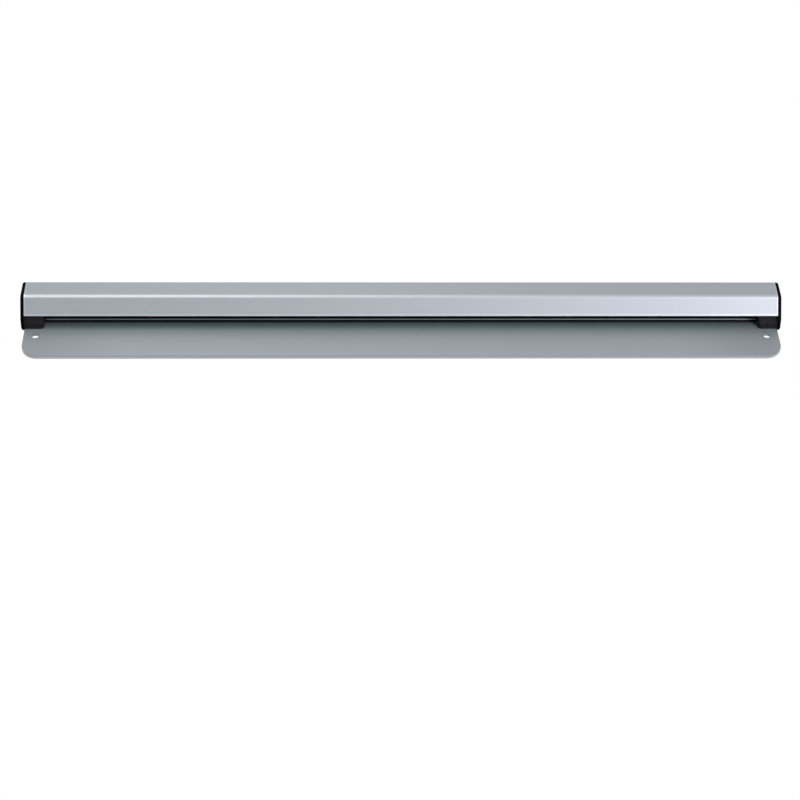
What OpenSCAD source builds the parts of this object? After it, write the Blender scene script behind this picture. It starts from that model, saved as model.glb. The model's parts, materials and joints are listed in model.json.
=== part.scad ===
// Slide-in order rack for a wall: an aluminium rail with a wedge channel, two moulded end caps
// and a row of loose glass marbles that pin what is pushed up into the channel.
// Millimetres. +X runs along the rail, -Y faces the room and +Z is up.
// The origin is midway between the two screw holes, on the wall.

/* [Rail] */
// Length of the aluminium extrusion, without its caps
rail_length = 452.8; // [260:0.1:1200]
// Height of the extrusion, from the plate's foot to its top
rail_height = 48; // [45:0.1:70]
// How far the front wall stands out from the plate's front face
housing_depth = 17.3; // [16.2:0.1:24]
// Thickness of the back plate
plate_t = 2.4; // [1.2:0.1:4]
// Thickness of the top, front and sloping walls
wall_t = 1.6; // [1:0.1:2.2]
// Distance from the plate's front face to the lip's outer edge
lip_out = 8; // [6.8:0.1:10]
// Angle between the sloping wall and the plate, in degrees
slope_angle = 49.6; // [46:0.1:56]

/* [Rounded edges] */
// Radius of the long edge between the front and the slope
front_edge_r = 4; // [0.4:0.1:6]
// Radius of the long edge between the front and the top
top_edge_r = 0.8; // [0.4:0.1:3]
// Radius of the lip's two edges and of the other small edges
small_edge_r = 0.4; // [0.1:0.05:0.45]
// Radius of the two long edges at the plate's foot
foot_edge_r = 0.1; // [0.05:0.05:0.5]
// Radius of the plate's two lower corners
foot_corner_r = 10; // [1:0.1:14]

/* [Marble track] */
// How far the track stands out from the plate's front face
track_t = 0.8; // [0.4:0.1:1.6]
// Height of the track's lower edge above the lip
track_rise = 6.2; // [5:0.1:8.6]

/* [Screw holes] */
// Diameter of the holes
hole_d = 4.8; // [3:0.1:6]
// Distance from the rail's end to a hole's centre
hole_inset = 7; // [4.5:0.1:12]
// Height of the holes above the plate's foot
hole_rise = 18.5; // [5:0.1:20]

/* [End caps] */
// Thickness of the cap's flange
flange_t = 2.2; // [1.7:0.1:5]
// Radius round the flange's outer face
flange_edge_r = 1.5; // [0.2:0.1:1.8]
// Length of the plug inside the rail
plug_length = 11.6; // [6:0.1:25]
// Clearance between the plug and the inside of the rail
plug_gap = 0.15; // [0.05:0.05:0.4]
// Wall of the hollow plug
plug_wall = 1.6; // [1:0.1:2.4]
// Height of the hollow's floor above the lip: the plug's nose below it is solid
hollow_rise = 3; // [2:0.1:4]
// Lead-in chamfer on the plug's lower edge
plug_lead = 1.4; // [0.4:0.1:1.5]
// How far the cap reaches below the lip
cap_drop = 1.3; // [0.4:0.1:2.4]
// Fall of the cap's underside towards the wall, in degrees
cap_rake = 18; // [0:0.5:22]
// Radius of the cap's lower corner at the wall
cap_back_r = 3; // [1.4:0.1:5]

/* [Marbles] */
// Number of marbles
marble_count = 17; // [1:1:30]
// Diameter of a marble
marble_d = 12.7; // [10:0.1:14]
// Clearance between a marble and its seat
marble_gap = 0.15; // [0.05:0.05:0.4]
// Room above a marble in its seat, for its way up the slope
marble_headroom = 3.3; // [1.8:0.1:6]

/* [Hidden] */

// Straight pieces in each rounded corner of an outline
corner_steps = 8;
// Rings that round the flange's outer edge
flange_rings = 5;
// Thickness of one such ring
ring_t = 0.01;
// Overrun of a cut past the face that it opens
cut = 1;

// Distances of the profile from the wall
lip_y = plate_t + lip_out;
front_y = plate_t + housing_depth;
track_y = plate_t + track_t;

// The lip is cut square to the slope, so its inner edge lies back and up from its outer edge
lip_in_y = lip_y - wall_t * cos(slope_angle);
lip_in_rise = wall_t * sin(slope_angle);

// Height above the lip of the slope's inner face, at a distance from the wall and a gap from that face
function slope_rise(y, gap = 0) =
    lip_in_rise + ((y - lip_in_y) * cos(slope_angle) + gap) / sin(slope_angle);

// Distance from the wall of the slope's inner face, at a height above the lip and a gap from that face
function slope_y(rise, gap = 0) =
    lip_in_y + ((rise - lip_in_rise) * sin(slope_angle) - gap) / cos(slope_angle);

// A marble lies against the track and on the slope, and the housing is as high as it needs
marble_r = marble_d / 2;
marble_y = track_y + marble_gap + marble_r;
marble_rise = slope_rise(marble_y, marble_gap + marble_r);
housing_height = marble_rise + marble_r + marble_headroom + wall_t;

// Heights of the profile, from the screw holes
foot_z = -hole_rise;
top_z = foot_z + rail_height;
lip_z = top_z - housing_height;
edge_z = lip_z + (housing_depth - lip_out) / tan(slope_angle);
track_z = lip_z + track_rise;
cap_z = lip_z - cap_drop;
marble_z = lip_z + marble_rise;

// The marbles share the channel between the two plugs
channel_length = rail_length - 2 * plug_length;
marble_pitch = channel_length / marble_count;

// The rail's section as corners of [distance from the wall, height, radius]
rail_corners = [
    [0, foot_z, foot_edge_r],
    [plate_t, foot_z, foot_edge_r],
    [plate_t, track_z, small_edge_r],
    [track_y, track_z + track_t, small_edge_r],
    [track_y, top_z - wall_t, small_edge_r],
    [front_y - wall_t, top_z - wall_t, small_edge_r],
    [front_y - wall_t, lip_z + slope_rise(front_y - wall_t), small_edge_r],
    [lip_in_y, lip_z + lip_in_rise, small_edge_r],
    [lip_y, lip_z, small_edge_r],
    [front_y, edge_z, front_edge_r],
    [front_y, top_z, top_edge_r],
    [0, top_z, small_edge_r]
];

// Height of the cap's underside at a distance from the wall: it falls from the plug's lower front edge
plug_edge_y = slope_y(-cap_drop, plug_gap);
function underside(y) = cap_z - (plug_edge_y - y) * tan(cap_rake);

// The cap's flange covers the channel's end and the plate behind it
flange_corners = [
    [0, underside(0), cap_back_r],
    [lip_y - cap_drop * tan(slope_angle), cap_z, flange_edge_r + small_edge_r],
    [front_y, edge_z, front_edge_r],
    [front_y, top_z, top_edge_r],
    [0, top_z, flange_edge_r + small_edge_r]
];

// The plug and its hollow follow the inside of the channel, set back by a distance from it,
// down to a height at the plate and a rise above the lip at the slope.
// The track's 45 degree step moves down by step_shift for each unit of that distance.
step_shift = tan(22.5);
function plug_corners(set_back, plate_z, slope_end_rise) = [
    [plate_t + set_back, plate_z, small_edge_r],
    [slope_y(slope_end_rise, set_back), lip_z + slope_end_rise, small_edge_r],
    [front_y - wall_t - set_back, lip_z + slope_rise(front_y - wall_t - set_back, set_back), small_edge_r],
    [front_y - wall_t - set_back, top_z - wall_t - set_back, small_edge_r],
    [track_y + set_back, top_z - wall_t - set_back, small_edge_r],
    [track_y + set_back, track_z + track_t - set_back * step_shift, small_edge_r],
    [plate_t + set_back, track_z - set_back * step_shift, small_edge_r]
];

function unit(v) = v / norm(v);

// Points of the arc that rounds corner b, between its neighbours a and c
function corner_arc(a, b, c, r) =
    let (
        to_a = unit([a[0] - b[0], a[1] - b[1]]),
        to_c = unit([c[0] - b[0], c[1] - b[1]]),
        half = acos(to_a * to_c) / 2,
        centre = [b[0], b[1]] + unit(to_a + to_c) * r / sin(half),
        sweep = 180 - 2 * half,
        to_corner = -unit(to_a + to_c),
        turn = cross(to_a, to_c) > 0 ? 1 : -1
    )
    [for (k = [0:corner_steps])
        let (angle = turn * sweep * (k / corner_steps - 0.5))
        centre + r * [
            to_corner[0] * cos(angle) + to_corner[1] * sin(angle),
            to_corner[1] * cos(angle) - to_corner[0] * sin(angle)
        ]
    ];

// An outline whose corners are each rounded to their own radius
function rounded(corners) =
    let (n = len(corners))
    [for (i = [0:n - 1])
        each corner_arc(corners[(i + n - 1) % n], corners[i], corners[(i + 1) % n], corners[i][2])
    ];

// Lays a drawn section along X: its first axis points away from the wall and its second one up
module along_rail(length) {
    rotate([90, 0, -90])
        translate([0, 0, -length])
            linear_extrude(length)
                children();
}

// What lies outside the round lower corner at the plate's right end
module foot_corner() {
    translate([rail_length / 2 - foot_corner_r, cut, foot_z + foot_corner_r])
        rotate([90, 0, 0])
            linear_extrude(plate_t + 2 * cut)
                difference() {
                    translate([0, -foot_corner_r - cut])
                        square(foot_corner_r + cut);
                    circle(r = foot_corner_r, $fn = 64);
                }
}

// Screw hole at the plate's right end
module screw_hole() {
    translate([rail_length / 2 - hole_inset, cut, 0])
        rotate([90, 0, 0])
            cylinder(d = hole_d, h = plate_t + 2 * cut, $fn = 48);
}

module rail() {
    color("silver")
        difference() {
            translate([-rail_length / 2, 0, 0])
                along_rail(rail_length)
                    polygon(rounded(rail_corners));
            for (side = [0, 1])
                mirror([side, 0, 0]) {
                    foot_corner();
                    screw_hole();
                }
        }
}

// Flange with a rounded outer edge, from the rail's end outwards
module flange() {
    hull() {
        along_rail(flange_t - flange_edge_r)
            polygon(rounded(flange_corners));
        for (ring = [1:flange_rings])
            let (angle = 90 * ring / flange_rings)
            translate([flange_t - flange_edge_r * (1 - sin(angle)) - ring_t, 0, 0])
                along_rail(ring_t)
                    offset(delta = -flange_edge_r * (1 - cos(angle)))
                        polygon(rounded(flange_corners));
    }
}

// Hollow plug, from the flange inwards: open at its inner end, with a web across the middle
module plug() {
    web_y = (track_y + front_y - wall_t - plug_wall) / 2;
    difference() {
        translate([-plug_length, 0, 0])
            along_rail(plug_length)
                polygon(rounded(plug_corners(plug_gap, underside(plate_t + plug_gap), -cap_drop)));
        difference() {
            translate([-plug_length - cut, 0, 0])
                along_rail(plug_length + cut)
                    polygon(rounded(plug_corners(plug_gap + plug_wall, lip_z + hollow_rise, hollow_rise)));
            translate([-plug_length, -web_y - plug_wall, lip_z])
                cube([plug_length, plug_wall, housing_height]);
        }
        translate([-plug_length, -plug_edge_y, cap_z])
            rotate([-cap_rake, 0, 0])
                rotate([0, 45, 0])
                    cube([plug_lead * sqrt(2), 2 * front_y, plug_lead * sqrt(2)], center = true);
    }
}

// Cap on the rail's right end
module end_cap() {
    color([0.08, 0.08, 0.09])
        translate([rail_length / 2, 0, 0]) {
            flange();
            plug();
        }
}

module end_cap_right() {
    end_cap();
}

module end_cap_left() {
    mirror([1, 0, 0])
        end_cap();
}

// Marble in its seat, counted from the left
module marble(place) {
    color([0.72, 0.85, 0.8, 0.5])
        translate([(place - (marble_count + 1) / 2) * marble_pitch, -marble_y, marble_z])
            sphere(d = marble_d, $fn = 64);
}

rail();
end_cap_left();
end_cap_right();
for (i = [1:marble_count])
    marble(i);
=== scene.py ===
import json
import math

import bpy
import numpy as np
from mathutils import Matrix, Vector


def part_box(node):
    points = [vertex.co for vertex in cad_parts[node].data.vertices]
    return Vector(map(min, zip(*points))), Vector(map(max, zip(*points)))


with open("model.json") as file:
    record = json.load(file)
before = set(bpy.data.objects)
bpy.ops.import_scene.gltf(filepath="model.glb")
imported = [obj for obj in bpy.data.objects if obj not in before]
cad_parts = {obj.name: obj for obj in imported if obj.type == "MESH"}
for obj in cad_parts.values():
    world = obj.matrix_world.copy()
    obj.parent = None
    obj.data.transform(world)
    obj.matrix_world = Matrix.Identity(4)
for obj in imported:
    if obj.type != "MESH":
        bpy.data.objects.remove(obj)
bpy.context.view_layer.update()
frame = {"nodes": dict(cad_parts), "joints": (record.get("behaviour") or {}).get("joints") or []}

# The rail
# One aluminium extrusion, satin anodised and sawn to length. Its plate is punched for two screws.
# The die leaves faint lines along it. Its lip is worn a little bright, partly a painted highlight,
# and its sawn ends carry a painted highlight.

rail = frame["nodes"]["rail"]
rail_low, rail_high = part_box("rail")
rail_points = np.empty(len(rail.data.vertices) * 3)
rail.data.vertices.foreach_get("co", rail_points)
rail_points = rail_points.reshape(-1, 3)

# Sizes of the section, read from the mesh. The housing lies in front of half the depth, only the
# plate reaches into the foot's band, and the track is the first step in front of the plate.
wall_t = 0.0016
foot_band = 0.010
least_step = 0.0001
front_y = rail_low.y
housing_points = rail_points[rail_points[:, 1] < front_y / 2]
lip_z = housing_points[:, 2].min()
lip_y = housing_points[housing_points[:, 2].argmin(), 1]
plate_t = -rail_points[rail_points[:, 2] < rail_low.z + foot_band][:, 1].min()
on_track = (rail_points[:, 1] < -plate_t - least_step) & (rail_points[:, 1] > lip_y / 2)
track_z = rail_points[on_track][:, 2].min()

# The marbles' joints run up the slope, so a quarter turn of their axis points straight out of it.
slope_axis = frame["joints"][0]["axis"]
slope_across, slope_up = slope_axis[2], -slope_axis[1]

# The plate's lower corners fall short of square ones along the diagonal, which gives their radius.
corner_reach = (rail_points[:, 0] - rail_points[:, 2]).max()
foot_corner_r = (rail_high.x - rail_low.z - corner_reach) / (2 - math.sqrt(2))


class Wire:
    """A socket in a node tree. Sums, products and powers of wires add Math nodes to that tree."""

    def __init__(self, tree, socket=None):
        self.tree = tree
        self.socket = socket

    def node(self, kind, settings=None, inputs=None, output=0):
        """Adds a node, sets its settings and then its sockets, from values or wires.

        Gives a wire from one of the node's outputs.
        """
        made = self.tree.nodes.new(kind)
        for name, setting in (settings or {}).items():
            setattr(made, name, setting)
        for name, value in (inputs or {}).items():
            if isinstance(value, Wire):
                self.tree.links.new(value.socket, made.inputs[name])
            else:
                made.inputs[name].default_value = value
        return Wire(self.tree, made.outputs[output])

    def maths(self, operation, first, second=0.0):
        return self.node("ShaderNodeMath", {"operation": operation}, {0: first, 1: second})

    def __add__(self, other):
        return self.maths("ADD", self, other)

    def __radd__(self, other):
        return self.maths("ADD", other, self)

    def __sub__(self, other):
        return self.maths("SUBTRACT", self, other)

    def __rsub__(self, other):
        return self.maths("SUBTRACT", other, self)

    def __mul__(self, other):
        return self.maths("MULTIPLY", self, other)

    def __rmul__(self, other):
        return self.maths("MULTIPLY", other, self)

    def __pow__(self, other):
        return self.maths("POWER", self, other)

    def __abs__(self):
        return self.maths("ABSOLUTE", self)

    def at_least(self, other):
        return self.maths("MAXIMUM", self, other)

    def at_most(self, other):
        return self.maths("MINIMUM", self, other)


def new_finish(name):
    """An empty material, its shader node and a wire that carries Object coordinates in metres."""
    material = bpy.data.materials.new(name)
    material.use_nodes = True
    tree = material.node_tree
    shader = tree.nodes["Principled BSDF"]
    place = Wire(tree).node("ShaderNodeTexCoord", output="Object")
    return material, shader, place


def coat(piece, finish):
    """Gives a piece this finish and no other."""
    piece.data.materials.clear()
    piece.data.materials.append(finish)


def feed(shader, socket, wire):
    """Links a wire to one of the shader's sockets."""
    wire.tree.links.new(wire.socket, shader.inputs[socket])


def coordinate(place, axis):
    """One of the three numbers of a wire that carries a place."""
    return place.node("ShaderNodeSeparateXYZ", None, {"Vector": place}, axis)


def distance_from(across, up, point):
    """Distance from a point in a plane. Across the rail, such a point is one of its long edges."""
    return ((across - point[0]) ** 2.0 + (up - point[1]) ** 2.0) ** 0.5


def stretched_noise(place, scale, detail=3.0, roughness=0.55):
    """Noise from 0 to 1 whose cells are 1 / scale metres long on each axis."""
    stretched = place.node("ShaderNodeVectorMath", {"operation": "MULTIPLY"}, {0: place, 1: scale})
    settings = {"noise_dimensions": "3D"}
    inputs = {"Vector": stretched, "Scale": 1.0, "Detail": detail, "Roughness": roughness}
    return place.node("ShaderNodeTexNoise", settings, inputs, "Fac")


def fade(wire, start, end):
    """1 at start, falling smoothly to 0 at end, and level beyond both. Start may be above end."""
    settings = {"interpolation_type": "SMOOTHSTEP", "clamp": True}
    inputs = {"Value": wire, "From Min": start, "From Max": end, "To Min": 1.0, "To Max": 0.0}
    return wire.node("ShaderNodeMapRange", settings, inputs, "Result")


def blend_colours(amount, first, second):
    """Mixes two colours by a wire from 0 to 1."""
    colour_a, colour_b, colour_result = 6, 7, 2
    inputs = {"Factor": amount, colour_a: first, colour_b: second}
    return amount.node("ShaderNodeMix", {"data_type": "RGBA"}, inputs, colour_result)


def bumped(height, strength, distance):
    """A normal bent by a height wire, whose full range stands this many metres proud."""
    inputs = {"Height": height, "Strength": strength, "Distance": distance}
    return height.node("ShaderNodeBump", None, inputs)


anodised, shader, place = new_finish("satin_anodised_aluminium")
rail_x, rail_y, rail_z = (coordinate(place, axis) for axis in "XYZ")
from_middle = abs(rail_x)
from_end = rail_high.x - from_middle
die_lines = stretched_noise(place, scale=(1.5, 2600.0, 2600.0), detail=4.0)
broad_bands = stretched_noise(place, scale=(0.8, 260.0, 260.0), detail=2.0)
clouding = stretched_noise(place, scale=(9.0, 26.0, 26.0), detail=3.0)
etch = stretched_noise(place, scale=(5200.0, 5200.0, 5200.0), detail=2.0)

# Bright lip wear, partly a painted highlight, and a painted highlight at the sawn ends, in patches,
# and a painted shadow where the caps meet the rail. Here and below, a pair of numbers is where a
# mark is full and where it has faded out.
housing_blur = 0.001
lip_wear_and_highlight = (0.0006, 0.0017)
sawn_highlight_band = (0.0005, 0.0010)
wear_and_highlight_patch = (0.62, 0.34)
least_wear_and_highlight = 0.6
joint_shadow_band = (0.00010, 0.00014)
on_housing = 1.0 - fade(rail_z, lip_z - housing_blur, lip_z)
lip_edge = fade(distance_from(rail_y, rail_z, (lip_y, lip_z)), *lip_wear_and_highlight)
sawn_highlight = fade(from_end, *sawn_highlight_band) * on_housing
patches = fade(stretched_noise(place, scale=(70.0, 700.0, 700.0), detail=4.0), *wear_and_highlight_patch)
wear_and_highlight = lip_edge.at_least(sawn_highlight) * (least_wear_and_highlight + (1.0 - least_wear_and_highlight) * patches)
# A painted shadow where the caps meet the rail.
joint_shadow = fade(from_end, *joint_shadow_band) * on_housing

# The plate's outline has two straight ends, a straight foot and round corners between them. The
# punch leaves its cut edge burnished towards the wall, lighter there partly as a painted highlight,
# and a thin painted shade runs round the rim of its face.
cut_line = (0.00002, 0.00004)
burnish_and_highlight_start = (-1.05 * plate_t, -0.45 * plate_t)
rim_shade_band = (0.0002, 0.0006)
past_side = (from_middle - (rail_high.x - foot_corner_r)).at_least(0.0)
past_foot = ((rail_low.z + foot_corner_r) - rail_z).at_least(0.0)
from_edge = foot_corner_r - (past_side ** 2.0 + past_foot ** 2.0) ** 0.5
cut_edge = fade(from_edge, *cut_line)
burnish_and_highlight = cut_edge * (1.0 - fade(rail_y, *burnish_and_highlight_start))
# A thin painted shade along the rim of the plate's face, short of the cut edge.
rim_shade = fade(from_edge, *rim_shade_band) * (1.0 - cut_edge) * (1.0 - on_housing)

# Smears and fine scratches on the back and the top, from handling and from the wall.
face_far, face_near = 0.0003, 0.0001
smear_patch, smear_share = (0.68, 0.50), 0.5
scratch_patch, scratch_share = (0.30, 0.36), 0.8
on_back = 1.0 - fade(rail_y, -face_far, -face_near)
on_top = 1.0 - fade(rail_z, rail_high.z - face_far, rail_high.z - face_near)
smudges = stretched_noise(place, scale=(14.0, 150.0, 150.0), detail=6.0, roughness=0.65)
scrapes = stretched_noise(place, scale=(9.0, 1500.0, 1500.0), detail=3.0)
smears = fade(smudges, *smear_patch) * smear_share
scratches = fade(scrapes, *scratch_patch) * scratch_share
marks = on_back.at_least(on_top) * smears.at_least(scratches)

# The channel's inside is painted dark as shade. Its depth counts from the middle of each wall and
# from below the track, so it is under 0 on every outer face. Only the track's lower edge is left
# lighter.
half_wall = wall_t / 2
dark_below_track = 0.0040
dark_track_rate = 0.5
dark_depth = 0.0014
track_line = (0.0001, 0.0005)
track_proud = (-plate_t - 0.0001, -plate_t + 0.0002)
track_share = 0.75
above_slope = (rail_y - lip_y) * slope_across + (rail_z - lip_z) * slope_up
depth_inside = (above_slope - half_wall).at_most(rail_y - front_y - half_wall)
depth_inside = depth_inside.at_most(rail_high.z - half_wall - rail_z)
depth_inside = depth_inside.at_most(-plate_t / 2 - rail_y)
depth_inside = depth_inside.at_most((rail_z - track_z + dark_below_track) * dark_track_rate)
track_edge = fade(abs(rail_z - track_z), *track_line) * fade(rail_y, *track_proud)
inside_shade = (1.0 - fade(depth_inside, 0.0, dark_depth)) * (1.0 - track_edge * track_share)

# Under the mouth the plate's face has a painted blue-green tint of shade, weaker at the ends, and
# towards the screw holes at both ends it is painted darker as shade.
face_behind = (-0.9 * plate_t, -0.7 * plate_t)
face_ahead = (1.05 * plate_t, 1.15 * plate_t)
cast_below, cast_above = 0.011, 0.002
cast_middle = (0.16, 0.21)
cast_at_ends = 0.6
end_shade_middle = (0.16, 0.225)
least_end_shade, clouded_end_shade = 0.7, 0.5
plate_front = fade(rail_y, *face_behind) * fade(-1.0 * rail_y, *face_ahead)
under_mouth = 1.0 - fade(rail_z, lip_z - cast_below, lip_z + cast_above)
cast_along = cast_at_ends + (1.0 - cast_at_ends) * fade(from_middle, *cast_middle)
shade_tint = under_mouth * plate_front * cast_along
# Painted shade, darker towards the screw holes at both ends.
towards_holes = 1.0 - fade(from_middle, *end_shade_middle)
end_shade = towards_holes * plate_front * (least_end_shade + clouded_end_shade * clouding)

satin_grey = (0.2245, 0.247, 0.264, 1.0)
streak_grey = (0.2625, 0.290, 0.307, 1.0)
bare_and_highlight_grey = (0.420, 0.440, 0.456, 1.0)
marks_and_shade_grey = (0.201, 0.222, 0.236, 1.0)
painted_shade_grey = (0.010, 0.016, 0.018, 1.0)
shade_tint_green = (0.116, 0.258, 0.264, 1.0)
line_share = 0.8
cast_share = 0.48
wear_and_highlight_share = 0.53
streaks = die_lines * line_share + broad_bands * (1.0 - line_share)
# Real marks, the painted shade at the ends and the painted shade along the rim darken the face.
marks_and_shade = marks.at_least(end_shade).at_least(rim_shade)
# Bare metal where the lip is worn and the cut edge burnished, with painted highlight on the lip,
# the sawn ends and the cut edge.
bare_and_highlight = (wear_and_highlight * (1.0 - inside_shade) * wear_and_highlight_share).at_least(burnish_and_highlight)
streaked = blend_colours(streaks, satin_grey, streak_grey)
marked_and_shaded = blend_colours(marks_and_shade, streaked, marks_and_shade_grey)
# The painted blue-green tint of shade under the mouth.
shade_tinted = blend_colours(shade_tint * cast_share, marked_and_shaded, shade_tint_green)
# Painted shade inside the channel.
darkened = blend_colours(inside_shade, shade_tinted, painted_shade_grey)
bared = blend_colours(bare_and_highlight, darkened, bare_and_highlight_grey)
feed(shader, "Base Color", blend_colours(joint_shadow, bared, painted_shade_grey))

satin_rough = 0.42
line_rough = 0.06
cloud_rough = 0.06
mark_rough = 0.08
wear_polish = 0.06
line_relief = 0.7
satin = satin_rough + die_lines * line_rough + clouding * cloud_rough
relief = die_lines * line_relief + etch * (1.0 - line_relief)
feed(shader, "Roughness", satin + marks * mark_rough - wear_and_highlight * wear_polish)
feed(shader, "Normal", bumped(relief, strength=0.25, distance=0.00002))
shader.inputs["Metallic"].default_value = 0.8
coat(rail, anodised)

# The marbles
# Loose balls of clear, slightly green soda glass, pressed and fire polished.
# They lie in the wedge between the slope and the raised track, one body each.

clear_green = (0.80, 0.93, 0.88, 1.0)
pale_green = (0.90, 0.97, 0.94, 1.0)
polished_rough = 0.02
scuff_rough = 0.10
scuff_patch = (0.30, 0.42)

soda_glass, shader, place = new_finish("soda_glass")
swirl = stretched_noise(place, scale=(160.0, 240.0, 240.0), detail=2.0)
scuffs = stretched_noise(place, scale=(900.0, 900.0, 900.0), detail=5.0, roughness=0.7)
feed(shader, "Base Color", blend_colours(swirl, clear_green, pale_green))
feed(shader, "Roughness", polished_rough + scuff_rough * fade(scuffs, *scuff_patch))
feed(shader, "Normal", bumped(scuffs, strength=0.05, distance=0.00002))
shader.inputs["Transmission Weight"].default_value = 1.0
shader.inputs["IOR"].default_value = 1.5

for name, piece in frame["nodes"].items():
    if name.startswith("marble_"):
        coat(piece, soda_glass)

# The end caps
# Black polypropylene mouldings with a fine spark-eroded grain.
# Each is pushed into the rail's end by its hollow plug until its flange meets the sawn aluminium.

shaded_rim_black = (0.0008, 0.0008, 0.0010, 1.0)
moulded_black = (0.0086, 0.0089, 0.0102, 1.0)
handled_black = (0.0165, 0.0168, 0.0184, 1.0)
scuffed_black = (0.0300, 0.0305, 0.0325, 1.0)
joint_blur = 0.0002
end_far, end_near = 0.0004, 0.0001
rub_patch, rub_share = (0.32, 0.46), 0.35
cap_rough = 0.46
grain_rough = 0.14
flow_rough = 0.08

cap_plastic, shader, place = new_finish("moulded_black_plastic")
grain = stretched_noise(place, scale=(4200.0, 4200.0, 4200.0), detail=3.0)
flow = stretched_noise(place, scale=(60.0, 180.0, 60.0), detail=3.0)
rubs = stretched_noise(place, scale=(500.0, 220.0, 900.0), detail=5.0, roughness=0.65)
cap_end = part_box("end_cap_right")[1].x
outwards = abs(coordinate(place, "X"))
on_flange = 1.0 - fade(outwards, rail_high.x - joint_blur, rail_high.x + joint_blur)
short_of_end = fade(outwards, cap_end - end_far, cap_end - end_near)
on_rim = on_flange * short_of_end
handled = blend_colours(1.0 - short_of_end, moulded_black, handled_black)
rubbed = blend_colours(rub_share * fade(rubs, *rub_patch), handled, scuffed_black)
# The flange's rim is painted darker than the plug, as shade.
feed(shader, "Base Color", blend_colours(on_rim, rubbed, shaded_rim_black))
feed(shader, "Roughness", cap_rough + grain * grain_rough + flow * flow_rough)
feed(shader, "Normal", bumped(grain, strength=0.35, distance=0.00006))
shader.inputs["Specular IOR Level"].default_value = 0.02

for side in ("left", "right"):
    coat(frame["nodes"]["end_cap_" + side], cap_plastic)

# The room
# A pale floor far below the rack, soft boxes round it and a white surround, as in a studio.
# The camera stands in front of the rack and below it, and looks up into the mouth.

floor_z = -1.35
floor_r = 9.0
floor_full_r = 2.5
floor_gone_r = 0.95 * floor_r
floor_sides = 96
floor_grey = (0.84, 0.84, 0.84, 1.0)
floor_white = (0.88, 0.88, 0.88, 1.0)

# The floor is a flat disc: the cosine and the sine of equal turns, times its radius, are its rim.
turns = np.arange(floor_sides) * 2 * math.pi / floor_sides
rim_x, rim_y = floor_r * np.cos(turns), floor_r * np.sin(turns)
floor_rim = np.stack([rim_x, rim_y, np.full(floor_sides, floor_z)], axis=1)
floor_mesh = bpy.data.meshes.new("floor")
floor_mesh.from_pydata(floor_rim.tolist(), [], [list(range(floor_sides))])
floor = bpy.data.objects.new("floor", floor_mesh)
bpy.context.scene.collection.objects.link(floor)

pale_floor, shader, place = new_finish("pale_floor")
mottle = stretched_noise(place, scale=(3.0, 3.0, 3.0), detail=3.0)
from_rack = distance_from(coordinate(place, "X"), coordinate(place, "Y"), (0.0, 0.0))
feed(shader, "Base Color", blend_colours(mottle, floor_grey, floor_white))
feed(shader, "Alpha", fade(from_rack, floor_full_r, floor_gone_r))
shader.inputs["Roughness"].default_value = 0.9
coat(floor, pale_floor)


def soft_box(name, place, aim, size, watts, colour):
    """A square area lamp at a place, turned to face a point. The camera doesn't see it."""
    lamp = bpy.data.lights.new(name, "AREA")
    lamp.size = size
    lamp.energy = watts
    lamp.color = colour
    made = bpy.data.objects.new(name, lamp)
    made.location = place
    made.rotation_euler = (Vector(aim) - Vector(place)).to_track_quat("-Z", "Y").to_euler()
    made.visible_camera = False
    bpy.context.scene.collection.objects.link(made)


rack_middle = (0.0, 0.0, 0.0)
warm_white = (1.0, 0.97, 0.97)
rosy_white = (1.0, 0.935, 1.0)
plain_white = (1.0, 1.0, 1.0)
soft_box("front_low_box", place=(-0.445, -1.842, -0.20), aim=rack_middle,
         size=0.45, watts=10.3, colour=warm_white)
soft_box("front_high_box", place=(-0.436, -1.812, 0.40), aim=rack_middle,
         size=0.45, watts=10.6, colour=warm_white)
soft_box("low_right_box", place=(0.936, -1.058, -0.75), aim=rack_middle,
         size=0.6, watts=25.7, colour=rosy_white)
soft_box("overhead_box", place=(-0.10, -0.40, 0.90), aim=(-0.10, 0.0, 0.0),
         size=0.3, watts=0.57, colour=plain_white)

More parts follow.
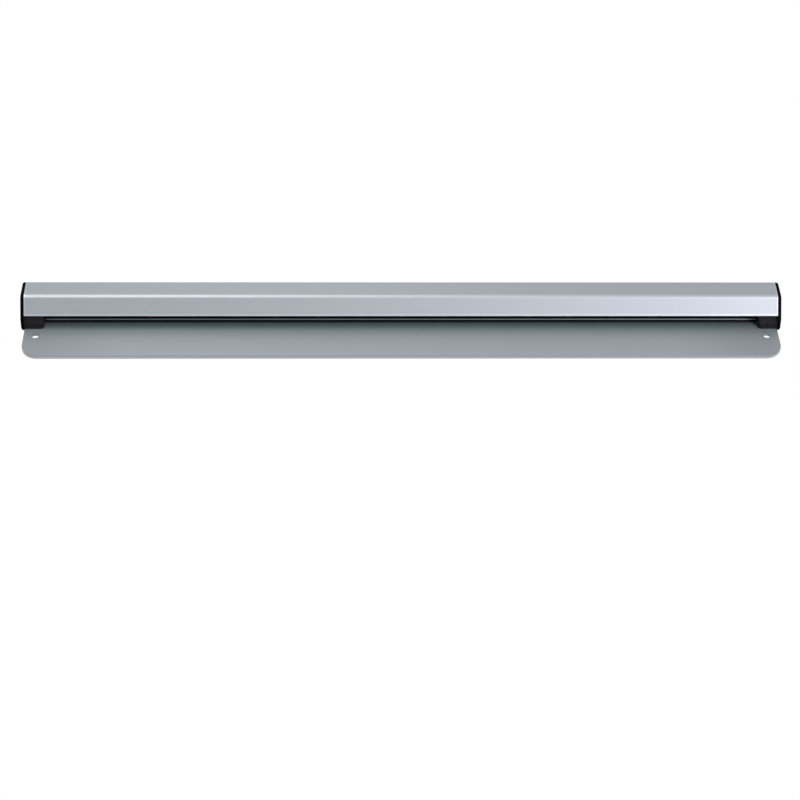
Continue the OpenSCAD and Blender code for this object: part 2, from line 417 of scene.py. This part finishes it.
# The surround is white where it is seen, in metal and glass too, and lights the rack a little less.
fill_strength = 0.8
seen_strength = 1.0
seen_rays = ("Is Camera Ray", "Is Glossy Ray", "Is Transmission Ray")
world = bpy.data.worlds.new("white_surround")
bpy.context.scene.world = world
world.use_nodes = True
sky = Wire(world.node_tree)
straight, mirrored, through = (sky.node("ShaderNodeLightPath", output=ray) for ray in seen_rays)
seen = straight.at_least(mirrored).at_least(through)
surround = world.node_tree.nodes["Background"]
surround.inputs["Color"].default_value = (1.0, 1.0, 1.0, 1.0)
feed(surround, "Strength", fill_strength + seen * (seen_strength - fill_strength))

# Measured on an 800 pixel frame: the lens in pixels, the view's tilt from straight up, its turn to
# the right, its roll, where the middle of the plate's lower front edge is seen, and how far off.
frame_pixels = 800
lens_pixels = 2002.0
tilt = math.radians(42.5)
turn = math.radians(1.40)
roll = math.radians(-0.064)
edge_pixel = (403.28, 355.67)
edge_distance = 1.1866
plate_edge = Vector((0.0, -plate_t, rail_low.z))

ahead = Vector((0.0, math.sin(tilt), math.cos(tilt)))
overhead = Vector((0.0, -math.cos(tilt), math.sin(tilt)))
along = Vector((1.0, 0.0, 0.0))
forward = ahead * math.cos(turn) + along * math.sin(turn)
aside = along * math.cos(turn) - ahead * math.sin(turn)
rightward = aside * math.cos(roll) + overhead * math.sin(roll)
upward = overhead * math.cos(roll) - aside * math.sin(roll)
metres_per_pixel = edge_distance / lens_pixels
seen_right = (edge_pixel[0] - frame_pixels / 2) * metres_per_pixel
seen_up = (frame_pixels / 2 - edge_pixel[1]) * metres_per_pixel
eye = plate_edge - forward * edge_distance - upward * seen_up - rightward * seen_right
facing = Matrix((rightward, upward, -forward)).transposed().to_4x4()

camera = bpy.data.objects.new("camera", bpy.data.cameras.new("camera"))
camera.data.sensor_width = 36.0
camera.data.lens = camera.data.sensor_width * lens_pixels / frame_pixels
camera.matrix_world = Matrix.Translation(eye) @ facing
bpy.context.scene.collection.objects.link(camera)
bpy.context.scene.camera = camera
bpy.context.scene.view_settings.view_transform = "Standard"
